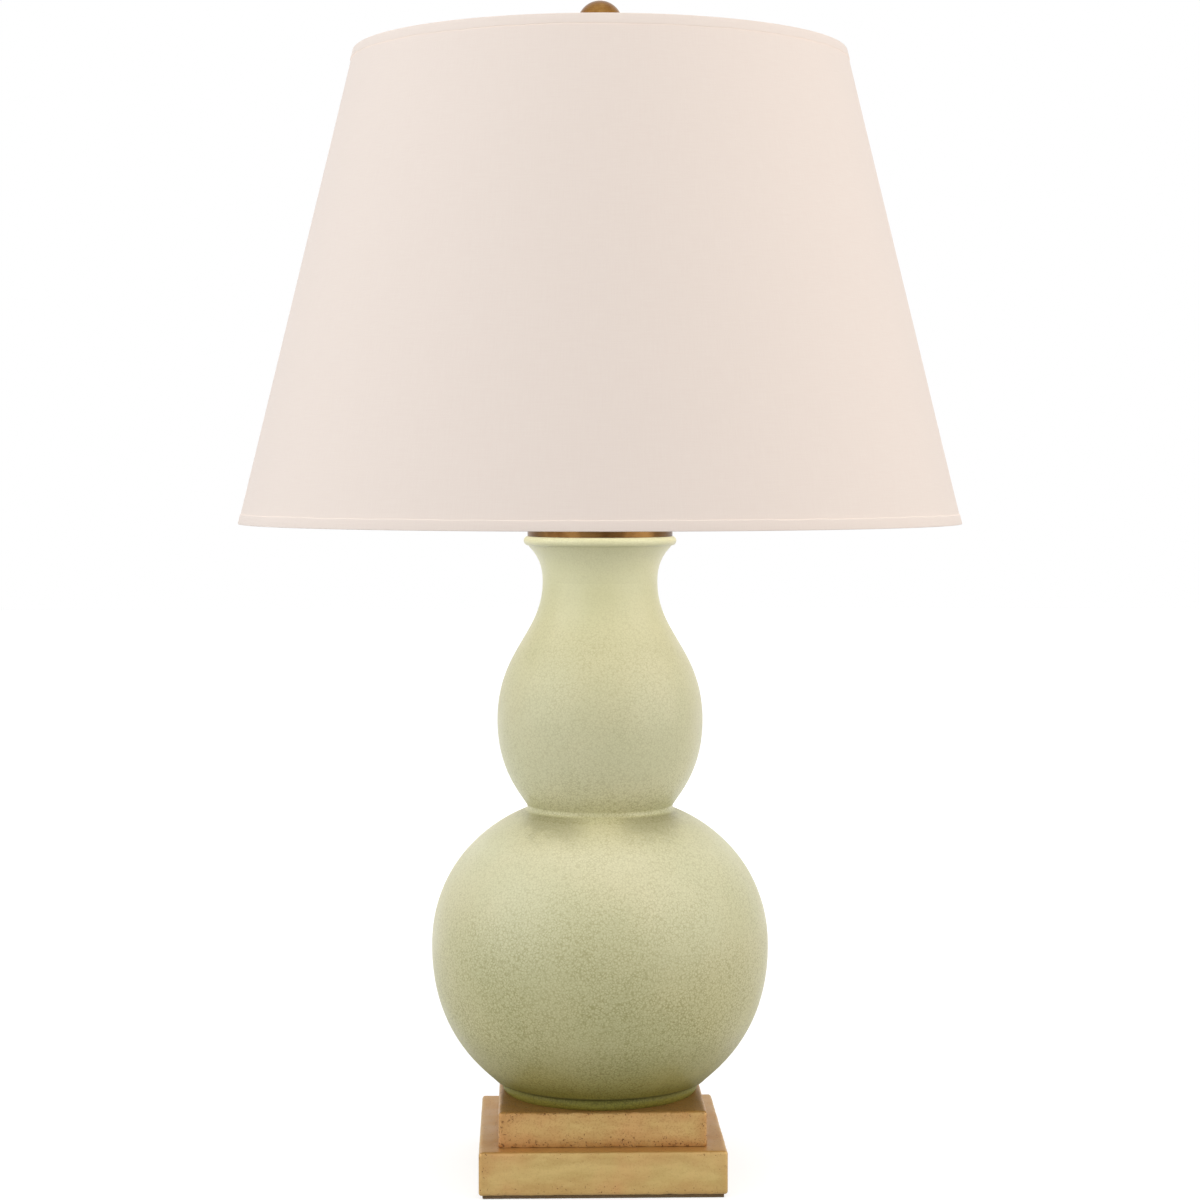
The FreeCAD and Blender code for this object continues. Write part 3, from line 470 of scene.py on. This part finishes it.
# slot: how it is made, its pale and its deep colour on screen, and its roughness
PLAIN_SLOTS = {
    "zinc_steel": (plated_metal, (196, 198, 200), (160, 162, 166), 0.35),
    "brown_plastic": (moulded, (74, 52, 38), (56, 40, 30), 0.5),
    # aged_brass is partly the dark tone of old brass and partly painted shade, for the vase cap in the
    # lampshade's shadow
    "aged_brass": (turned_metal, (120, 88, 50), (80, 53, 26), 0.3),
    "bright_brass": (turned_metal, *SATIN_BRASS),
    "fibre_liner": (moulded, (146, 128, 104), (120, 104, 84), 0.85),
    "phenolic": (moulded, (40, 36, 34), (28, 26, 25), 0.45),
    "sleeve_metal": (turned_metal, *SATIN_BRASS),
    "harp_brass": (plated_metal, *SATIN_BRASS),
    "black_plastic": (moulded, (34, 31, 30), (24, 22, 22), 0.28),
    "bulb_aluminium": (turned_metal, (214, 215, 217), (184, 185, 188), 0.3),
    "black_glass": (moulded, (30, 30, 32), (20, 20, 22), 0.12),
    "solder": (plated_metal, (188, 188, 190), (140, 140, 144), 0.45),
    "white_liner": (moulded, (242, 239, 232), (234, 230, 222), 0.55),
    "spider_brass": (plated_metal, *SATIN_BRASS),
    "finial_brass": (turned_metal, (184, 142, 80), (136, 92, 42), 0.28),
}

# slot: the block that it covers, its pale and its deep colour on screen, and how pitted it is
GILT_SLOTS = {
    "gilt_lower": ("lower_plinth", (204, 178, 116), (188, 160, 99), 0.2),
    "gilt_upper": ("upper_plinth", (202, 174, 112), (186, 154, 94), 1.0),
}


def make_materials():
    made = {
        "celadon_glaze": celadon_glaze(),
        "felt": felt(),
        "frosted_glass": frosted_glass(),
        "linen": linen("linen"),
        "linen_hem": linen("linen_hem"),
    }
    for slot, (node, pale, deep, pitting) in GILT_SLOTS.items():
        made[slot] = gilt_wood(slot, node, linear(*pale), linear(*deep), pitting)
    for slot, (make, pale, deep, roughness) in PLAIN_SLOTS.items():
        made[slot] = make(slot, linear(*pale), linear(*deep), roughness)
    return made


materials = make_materials()


def dress_nodes():
    """Gives each CAD node the material of its slot."""
    for part in frame["record"]["subparts"]:
        mesh = nodes[part["node"]].data
        mesh.materials.clear()
        mesh.materials.append(materials[part["material_slot"]])


# ---- studio -----------------------------------------------------------------------------------------

FLOOR_HALF = 6.0
WORLD_STRENGTH = 0.36
LIT_MIDDLE = Vector((0, 0, 0.33))
WHITE = (1.0, 1.0, 1.0)
COOL = (0.97, 0.985, 1.005)
WARM = (1.0, 0.97, 0.945)
AMBER = (1.0, 0.9, 0.8)


def make_floor():
    mesh = bpy.data.meshes.new("floor")
    corners = [(x * FLOOR_HALF, y * FLOOR_HALF, 0) for x, y in ((-1, -1), (1, -1), (1, 1), (-1, 1))]
    mesh.from_pydata(corners, [], [(0, 1, 2, 3)])
    floor = bpy.data.objects.new("floor", mesh)
    bpy.context.scene.collection.objects.link(floor)
    m = Material("floor", Roughness=0.9)
    m.colour((0.35, 0.35, 0.35))
    # far from the lamp less light falls on the floor, so more of its white is its own
    away = m.add("ShaderNodeVectorMath", {"operation": "LENGTH"}, Vector=m.place).outputs["Value"]
    m.add_white(m.ramp(away, 0.25, 1.3, 0.72, 0.9))
    mesh.materials.append(m.data)


def make_world():
    """An even pale light, which is white to camera, glossy and transmission rays."""
    world = bpy.data.worlds.new("world")
    bpy.context.scene.world = world
    world.use_nodes = True
    sky = NodeTree(world.node_tree)
    level = sky.ramp(sky.seen(), 0.0, 1.0, WORLD_STRENGTH, 1.0)
    background = sky.add("ShaderNodeBackground", Color=WHITE, Strength=level)
    output = sky.add("ShaderNodeOutputWorld")
    sky.join(background.outputs[0], output.inputs["Surface"])


def softbox(name, azimuth, elevation, distance, size, radiance, colour, reflected=True):
    """A soft light that faces the lamp's middle. Azimuth 0 is the front, and it grows to the right."""
    width, height = size
    data = bpy.data.lights.new(name, "AREA")
    data.shape = "RECTANGLE"
    data.size = width
    data.size_y = height
    data.energy = radiance * math.pi * width * height
    data.color = colour
    light = bpy.data.objects.new(name, data)
    bpy.context.scene.collection.objects.link(light)
    turn, rise = math.radians(azimuth), math.radians(elevation)
    away = Vector((math.sin(turn) * math.cos(rise), -math.cos(turn) * math.cos(rise), math.sin(rise)))
    light.location = LIT_MIDDLE + distance * away
    light.rotation_euler = away.to_track_quat("Z", "Y").to_euler()
    light.visible_camera = False
    light.visible_glossy = reflected
    return light


def make_studio():
    make_floor()
    make_world()
    # azimuth and elevation, distance, width and height, radiance, colour
    return [
        softbox("left_box", -64, 16, 1.6, (1.8, 1.9), 1.68, COOL),
        softbox("right_box", 64, 16, 1.6, (1.8, 1.9), 1.68, WARM),
        softbox("front_box", 0, 25, 1.8, (1.0, 0.8), 0.15, AMBER, reflected=False),
        softbox("top_box", 0, 78, 1.7, (1.2, 1.2), 1.8, WHITE, reflected=False),
        softbox("back_box", 180, 20, 2.0, (2.2, 1.5), 1.5, WHITE, reflected=False),
    ]


def shine_through(lamps, pieces):
    """The lamps' light goes through these thin pieces to what they cover, as it does through linen."""
    thin = bpy.data.collections.new("thin_pieces")
    for piece in pieces:
        thin.objects.link(piece)
    for entry in thin.collection_objects:
        entry.light_linking.link_state = "EXCLUDE"
    for lamp in lamps:
        lamp.light_linking.blocker_collection = thin


# ---- pieces -----------------------------------------------------------------------------------------


def add_piece(name, mesh, body, slot, *replaced):
    """Puts a mesh in the scene with its slot's material, on its body, in place of CAD nodes."""
    piece = bpy.data.objects.new(name, mesh)
    bpy.context.scene.collection.objects.link(piece)
    mesh.materials.clear()
    mesh.materials.append(materials[slot])
    mesh.shade_smooth()
    mesh.set_sharp_from_angle(angle=SMOOTH_BELOW)
    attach(piece, body)
    if replaced:
        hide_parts(*replaced)
    return piece


def skin(name, loops, closed=True):
    """A skin over equal loops of points, each joined to the next, and the last to the first."""
    count = len(loops[0])
    faces = []
    for i in range(len(loops)):
        here, there = i * count, (i + 1) % len(loops) * count
        for j in range(count if closed else count - 1):
            k = (j + 1) % count
            faces.append((here + j, there + j, there + k, here + k))
    mesh = bpy.data.meshes.new(name)
    mesh.from_pydata([point for loop in loops for point in loop], [], faces)
    return mesh


def ring(name, turns, section, closed=True):
    """A skin about the Z axis. section(turn) lists its outline there as (radius, height) points."""
    loops = [
        [(radius * math.cos(turn), radius * math.sin(turn), height) for radius, height in section(turn)]
        for turn in turns
    ]
    mesh = skin(name, loops, closed)
    tidied = bmesh.new()
    tidied.from_mesh(mesh)
    bmesh.ops.remove_doubles(tidied, verts=tidied.verts, dist=1e-7)
    bmesh.ops.recalc_face_normals(tidied, faces=tidied.faces)
    tidied.to_mesh(mesh)
    tidied.free()
    return mesh


def even_turns(count):
    return [2 * math.pi * i / count for i in range(count)]


def divided(start, end, count):
    """Numbers from start to end, in count equal steps."""
    return [start + (end - start) * i / count for i in range(count + 1)]


def spaced(start, end, step):
    """Numbers from start to end, in equal steps of about step."""
    return divided(start, end, max(1, round(abs(end - start) / step)))


def rounded(points, radius, steps):
    """A closed outline with each corner turned into a curve that starts radius away from it."""
    result = []
    for i, corner in enumerate(points):
        corner = Vector(corner)
        before = Vector(points[i - 1]) - corner
        after = Vector(points[(i + 1) % len(points)]) - corner
        start = corner + before.normalized() * min(radius, before.length * 0.45)
        end = corner + after.normalized() * min(radius, after.length * 0.45)
        for k in range(steps + 1):
            t = k / steps
            result.append(tuple((1 - t) ** 2 * start + 2 * t * (1 - t) * corner + t * t * end))
    return result


def waver(turn, seed, size, times):
    """A slow wave around the ring that closes on itself, up to about size either way."""
    return size * noise.noise(Vector((times * math.cos(turn), times * math.sin(turn), seed)))


# ---- shade ------------------------------------------------------------------------------------------

bottom_hem_low, bottom_hem_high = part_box("shade_bottom_hem")
top_hem_low, top_hem_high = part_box("shade_top_hem")
SHADE_BOTTOM, SHADE_TOP = bottom_hem_low.z, top_hem_high.z
HEM_HEIGHT = bottom_hem_high.z - SHADE_BOTTOM
TAPER = (bottom_hem_high.x - top_hem_high.x) / (top_hem_low.z - SHADE_BOTTOM)
SLANT = math.hypot(1, TAPER)
HEM_CLOTH = 0.4 * MM
LINEN_CLOTH = 0.8 * MM
LINING = 0.8 * MM
RING_WIRE = 1.6 * MM
CLOTH_WAVE = 0.1 * MM
CLOTH_ROWS = 66
PLAIN_COLUMNS = 236

# The lap is at the back. Its columns are given by their distance from the cut edge, and the plain
# ones go round the rest of the cone.
SEAM_TURN = math.pi / 2
SEAM_LAP = 9 * MM
SEAM_RISE = 0.45 * MM
SEAM_COLUMNS_MM = (-3, -1.5, -0.5, 0, 0.12, 0.25, 0.6, 1.5, 3, 5, 6, 7, 8, 9, 11)
PLAIN_START, PLAIN_END = math.radians(5.5), math.radians(357.5)

# the top hem is cut back to this share of itself, this far to either side of each arm
NOTCH_SHARE = 0.12
ARM_NOTCH = 1.8 * MM
SPIDER_ARMS = [math.radians(90 + 120 * i) for i in range(3)]
HEM_COLUMNS = 360
HEM_FOLD = 0.5 * MM


def shade_radius(height, depth=0.0):
    """The shade's radius at a height, depth inside the face that its hems have."""
    return bottom_hem_high.x - TAPER * (height - SHADE_BOTTOM) - depth


def seam_rise(offset):
    """How far the lap stands out, by the distance round the cone from its cut edge."""
    if offset <= 0:
        return 0.0
    climb = min(offset / (0.25 * MM), 1.0)
    fade = min(max((SEAM_LAP - offset) / (4 * MM), 0.0), 1.0)
    return SEAM_RISE * climb * fade * fade * (3 - 2 * fade)


def cloth_column(turn, offset):
    """The cloth's outline offset metres round from a turn: up its outer face and down its inner one."""
    heights = divided(SHADE_BOTTOM + HEM_CLOTH, SHADE_TOP - HEM_CLOTH, CLOTH_ROWS)
    points = []
    for height in heights:
        radius = shade_radius(height, HEM_CLOTH)
        angle = turn + offset / radius
        wave = noise.noise(Vector((5.1 * math.cos(angle), 5.1 * math.sin(angle), 15.3 * height)))
        radius += seam_rise(offset) + CLOTH_WAVE * wave
        points.append((radius * math.cos(angle), radius * math.sin(angle), height))
    for height in reversed(heights):
        radius = shade_radius(height, HEM_CLOTH + LINEN_CLOTH)
        angle = turn + offset / radius
        points.append((radius * math.cos(angle), radius * math.sin(angle), height))
    return points


def make_shade_cloth():
    """Linen on its lining. The ends of the cloth lap at the back."""
    columns = [cloth_column(SEAM_TURN, offset * MM) for offset in SEAM_COLUMNS_MM]
    for turn in divided(PLAIN_START, PLAIN_END, PLAIN_COLUMNS):
        columns.append(cloth_column(SEAM_TURN + turn, 0.0))
    return add_piece("shade_cloth", skin("shade_cloth", columns), "shade", "linen", "shade_linen")


def make_hem(name, rim, up_or_down, node, arms=()):
    """A strip of linen folded over the rim and its wire. It is cut away where an arm comes in."""
    hug = HEM_CLOTH + LINEN_CLOTH + LINING
    wire = 2 * RING_WIRE
    inside = hug + wire * SLANT
    turns = set(even_turns(HEM_COLUMNS))
    for arm in arms:
        for side in (-1, 1):
            for reach in (ARM_NOTCH, ARM_NOTCH + 0.3 * MM):
                turns.add(arm + side * reach / shade_radius(rim))

    def section(turn):
        """Its outline is laid out by depth in from the hem's face and height in from the rim."""
        gap = min((abs(math.remainder(turn - arm, 2 * math.pi)) for arm in arms), default=math.pi)
        flap = NOTCH_SHARE if gap * shade_radius(rim) < ARM_NOTCH + 0.1 * MM else 1.0
        edge = HEM_HEIGHT + waver(turn, 3.0 + rim, 0.35 * MM, 14)
        back = (HEM_HEIGHT + waver(turn, 7.0 + rim, 0.6 * MM, 19)) * flap
        belly = (wire + HEM_CLOTH) * flap
        depth = inside + waver(turn, 5.0 + rim, 0.25 * MM, 40)
        lean = hug + (inside - hug) * (1 - flap)
        outline = [
            (0, edge),
            (0, 0),
            (depth + HEM_CLOTH, 0),
            (depth + HEM_CLOTH, belly),
            (lean + HEM_CLOTH, back),
            (lean, back),
            (inside, belly),
            (inside, HEM_CLOTH * min(1.0, 2 * flap)),
            (HEM_CLOTH, HEM_CLOTH),
            (HEM_CLOTH, edge),
        ]
        return [
            (shade_radius(rim + up_or_down * height, across), rim + up_or_down * height)
            for across, height in rounded(outline, HEM_FOLD, 3)
        ]

    mesh = ring(name, sorted(turns, key=lambda turn: turn % (2 * math.pi)), section)
    return add_piece(name, mesh, "shade", "linen_hem", node)


def make_shade():
    cloth = make_shade_cloth()
    bottom_hem = make_hem("bottom_hem", SHADE_BOTTOM, 1, "shade_bottom_hem")
    top_hem = make_hem("top_hem", SHADE_TOP, -1, "shade_top_hem", SPIDER_ARMS)
    return [cloth, bottom_hem, top_hem, nodes["shade_lining"]]


# ---- plinth -----------------------------------------------------------------------------------------

VOXEL = 0.9 * MM
# a point this near to a block's outside is worn, and is pushed in from each face within FACE_REACH
OUTSIDE_REACH = 0.9 * MM
FACE_REACH = 4 * MM
DENTS_REACH = 3.5 * MM
DEEPEST_DENT = 0.7 * MM

FELT_CELLS = 150
FELT_FUZZ = 0.45 * MM
FELT_CORNER = 0.15 * MM


def remeshed(name, node):
    """A node's mesh, made again from small even faces."""
    block = bpy.data.objects.new(name + "_blank", nodes[node].data.copy())
    bpy.context.scene.collection.objects.link(block)
    remesh = block.modifiers.new("remesh", "REMESH")
    remesh.mode = "VOXEL"
    remesh.voxel_size = VOXEL
    shaped = block.evaluated_get(bpy.context.evaluated_depsgraph_get())
    mesh = bpy.data.meshes.new_from_object(shaped)
    mesh.name = name
    bpy.data.objects.remove(block)
    return mesh


def dent(place, from_edge, seed):
    """How deep a block is worn at a point: softly and in chips along its edges, and in pits all over."""
    near = max(0.0, 1 - from_edge / DENTS_REACH)
    # swells about 6 mm apart, chips about 2.4 mm apart and pits about 1.4 mm apart
    soft = noise.noise(place * 160 + Vector((seed, 0, 0)))
    chip = max(0.0, noise.noise(place * 420 + Vector((0, seed, 0))) - 0.25)
    pit = max(0.0, noise.noise(place * 700 + Vector((0, 0, seed))) - 0.52)
    depth = near * near * (0.25 + 0.35 * soft + 0.9 * chip) * MM + 1.2 * MM * pit
    return min(max(depth, 0.0), DEEPEST_DENT)


def worn_block(name, node, slot, seed):
    """A wood block remeshed finely enough to carry its softened edges, dents and pits."""
    low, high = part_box(node)
    middle = (low.z + high.z) / 2
    mesh = remeshed(name, node)
    for vertex in mesh.vertices:
        place = vertex.co
        reach = [high.x - abs(place.x), high.y - abs(place.y), min(high.z - place.z, place.z - low.z)]
        nearest, next_nearest, _ = sorted(max(distance, 0.0) for distance in reach)
        if nearest > OUTSIDE_REACH:
            continue
        outward = (place.x, place.y, place.z - middle)
        inward = Vector(
            [-math.copysign(1, side) if gap < FACE_REACH else 0 for side, gap in zip(outward, reach)]
        )
        if inward.length:
            vertex.co = place + dent(place, next_nearest, seed) * inward.normalized()
    return add_piece(name, mesh, "lamp_base", slot, node)


def make_felt_pad():
    """Cut felt, flat on the floor, with fuzzy cut edges that draw in most at the top and the bottom."""
    low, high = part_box("base_felt")
    half = high.x
    cells = FELT_CELLS
    layers = [low.z, low.z + 0.15 * MM, 0.5 * (low.z + high.z), high.z - 0.2 * MM, high.z]
    top = len(layers) - 1
    span = divided(-half, half, cells)
    points, faces, index = [], [], {}

    def place(i, j, k):
        """The number of the point at column i, row j and layer k, made when it is first needed."""
        if (i, j, k) not in index:
            x, y, z = span[i], span[j], layers[k]
            fuzz = FELT_FUZZ * abs(noise.noise(Vector((x, y, z)) * 900))
            if k in (0, top):
                fuzz += FELT_CORNER
            if i in (0, cells):
                x -= math.copysign(fuzz, x)
            if j in (0, cells):
                y -= math.copysign(fuzz, y)
            index[i, j, k] = len(points)
            points.append((x, y, z))
        return index[i, j, k]

    for i in range(cells):
        for j in range(cells):
            from_below = ((i, j), (i, j + 1), (i + 1, j + 1), (i + 1, j))
            from_above = ((i, j), (i + 1, j), (i + 1, j + 1), (i, j + 1))
            faces.append([place(*corner, 0) for corner in from_below])
            faces.append([place(*corner, top) for corner in from_above])
    for k in range(top):
        for i in range(cells):
            sides = (
                ((i, 0), (i + 1, 0)),
                ((i + 1, cells), (i, cells)),
                ((cells, i), (cells, i + 1)),
                ((0, i + 1), (0, i)),
            )
            for a, b in sides:
                faces.append((place(*a, k), place(*b, k), place(*b, k + 1), place(*a, k + 1)))
    mesh = bpy.data.meshes.new("felt_pad")
    mesh.from_pydata(points, [], faces)
    pad = add_piece("felt_pad", mesh, "lamp_base", "felt", "base_felt")


def make_plinth():
    worn_block("lower_block", "lower_plinth", "gilt_lower", 3.7)
    worn_block("upper_block", "upper_plinth", "gilt_upper", 11.3)
    make_felt_pad()


# ---- threads ----------------------------------------------------------------------------------------

BULB_PITCH = 3.63 * MM
STUD_PITCH = 0.94 * MM


def thread_wave(turn, height, pitch):
    """0 at a thread's root and 1 at its crest, on a right-handed helix."""
    return 0.5 - 0.5 * math.cos(2 * math.pi * (height / pitch - turn / (2 * math.pi)))


def make_bulb_cap():
    """The bulb's cap, with the round thread rolled into its thin wall."""
    low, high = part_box("bulb_cap")
    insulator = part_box("bulb_insulator")[1].x
    depth, metal = 0.75 * MM, 0.4 * MM
    thread_low, thread_high = low.z + 2.2 * MM, high.z - 2.6 * MM

    def section(turn):
        outside = [(insulator, low.z), (high.x - depth - 0.2 * MM, low.z + 1.6 * MM)]
        for height in spaced(thread_low, thread_high, 0.3 * MM):
            ends = min(height - thread_low, thread_high - height) / (1.2 * MM)
            crest = thread_wave(turn, height, BULB_PITCH) * min(ends, 1.0)
            outside.append((high.x - depth * (1 - crest) - 0.02 * MM, height))
        outside += [(high.x - 0.5 * MM, high.z - 2 * MM), (high.x, high.z - 1.6 * MM), (high.x, high.z)]
        inside = [(radius - metal, height) for radius, height in reversed(outside)]
        return outside + inside

    mesh = ring("bulb_thread_cap", even_turns(96), section)
    add_piece("bulb_thread_cap", mesh, "bulb", "bulb_aluminium", "bulb_cap")


def make_screw_sleeve():
    """The sleeve that takes the bulb: a floor with a hole, and a wall with the same rolled thread."""
    low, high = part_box("screw_sleeve")
    depth, metal = 0.35 * MM, 0.2 * MM
    hole_radius, floor_top = 6 * MM, low.z + 0.4 * MM
    crest_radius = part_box("bulb_cap")[1].x + 0.08 * MM

    def section(turn):
        inside = []
        for height in spaced(low.z + 1.5 * MM, high.z - 1.2 * MM, 0.3 * MM):
            root = 1 - thread_wave(turn, height, BULB_PITCH)
            inside.append((crest_radius + depth * root, height))
        outside = [(radius + metal, height) for radius, height in reversed(inside)]
        lip = [(high.x - metal, high.z), (high.x, high.z), (high.x, high.z - 0.3 * MM)]
        foot = [(crest_radius, low.z), (hole_radius, low.z), (hole_radius, floor_top)]
        return [(crest_radius, floor_top)] + inside + lip + outside + foot

    mesh = ring("threaded_sleeve", even_turns(96), section)
    add_piece("threaded_sleeve", mesh, "lamp_base", "sleeve_metal", "screw_sleeve")


def make_stud():
    """The swivel stud: a head under the harp, a shank, a shoulder, and the thread for the finial."""
    low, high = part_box("harp_stud")
    boss_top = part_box("harp_bow")[1].z
    shoulder = high.z - 12 * MM
    head_top, head_radius, shank, crest = low.z + 1.2 * MM, 4.2 * MM, 2.6 * MM, 3.1 * MM
    depth, chamfer = 0.5 * MM, 0.6 * MM

    def section(turn):
        outline = [
            (0, low.z),
            (head_radius - 0.8 * MM, low.z),
            (head_radius - 0.2 * MM, low.z + 0.3 * MM),
            (head_radius, head_top - 0.2 * MM),
            (head_radius - 0.1 * MM, head_top),
            (shank, head_top),
            (shank, boss_top),
            (high.x - 0.2 * MM, boss_top),
            (high.x, boss_top + 0.2 * MM),
            (high.x, shoulder - 0.3 * MM),
            (high.x - 0.3 * MM, shoulder),
            (crest - depth, shoulder),
        ]
        for height in spaced(shoulder + 0.1 * MM, high.z - chamfer, 0.1 * MM):
            root = 1 - thread_wave(turn, height, STUD_PITCH)
            outline.append((crest - depth * root, height))
        return outline + [(crest - depth - 0.1 * MM, high.z), (0, high.z)]

    mesh = ring("threaded_stud", even_turns(48), section, closed=False)
    add_piece("threaded_stud", mesh, "swivel_stud", "harp_brass", "harp_stud")


# ---- the making -------------------------------------------------------------------------------------

bpy.context.scene.view_settings.view_transform = "Standard"
make_camera()
lamps = make_studio()
dress_nodes()
shine_through(lamps, make_shade())
make_plinth()
make_bulb_cap()
make_screw_sleeve()
make_stud()
